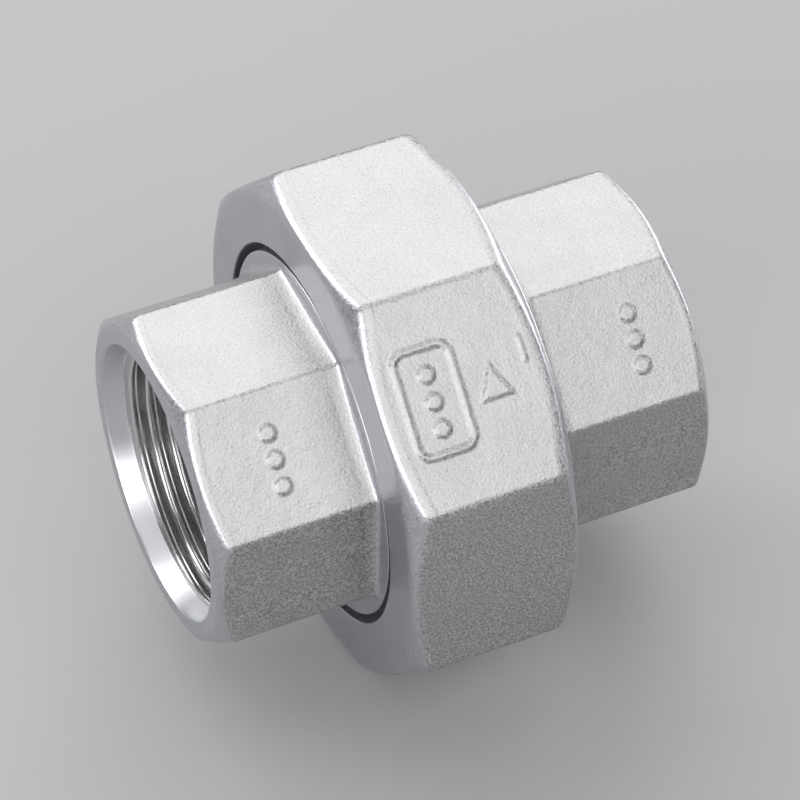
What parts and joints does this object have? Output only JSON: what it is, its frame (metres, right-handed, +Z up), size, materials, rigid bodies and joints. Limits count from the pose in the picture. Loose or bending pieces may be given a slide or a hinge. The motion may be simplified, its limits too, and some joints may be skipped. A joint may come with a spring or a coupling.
{
  "type": "pipe union",
  "caption": "Pipe union in cast stainless steel: octagonal threaded ends drawn together on a flat sealing ring by a captive octagonal nut.",
  "frame": {"origin": "on the pipe's axis, halfway between the two end faces", "axes": "+X along the pipe from the tailpiece to the threaded end, +Z up when the nut rests on one of its flats"},
  "size_m": [0.052, 0.05, 0.05],
  "materials": {
    "cast_stainless": "satin investment casting with a fine grain, machined on its faces and threads",
    "ptfe": "white PTFE, matte"
  },
  "bodies": {
    "threaded_end": {"threaded_end": "cast_stainless"},
    "gasket": {"gasket": "ptfe"},
    "union_nut": {"union_nut": "cast_stainless"},
    "tailpiece": {"tailpiece": "cast_stainless"}
  },
  "joints": [
    {"name": "opening", "type": "slide", "parent": "threaded_end", "child": "gasket", "axis": [-1, 0, 0], "range_m": [0, 0.008]},
    {"name": "nut_turn", "type": "hinge", "parent": "gasket", "child": "union_nut", "pos_m": [0, 0, 0], "axis": [-1, 0, 0], "range_deg": [0, 1440]},
    {"name": "tailpiece_swivel", "type": "hinge", "parent": "gasket", "child": "tailpiece", "pos_m": [0, 0, 0], "axis": [1, 0, 0], "continuous": true}
  ],
  "couplings": [
    {"joint": "opening", "follows": "nut_turn", "m_per_rad": 0.00031831}
  ]
}
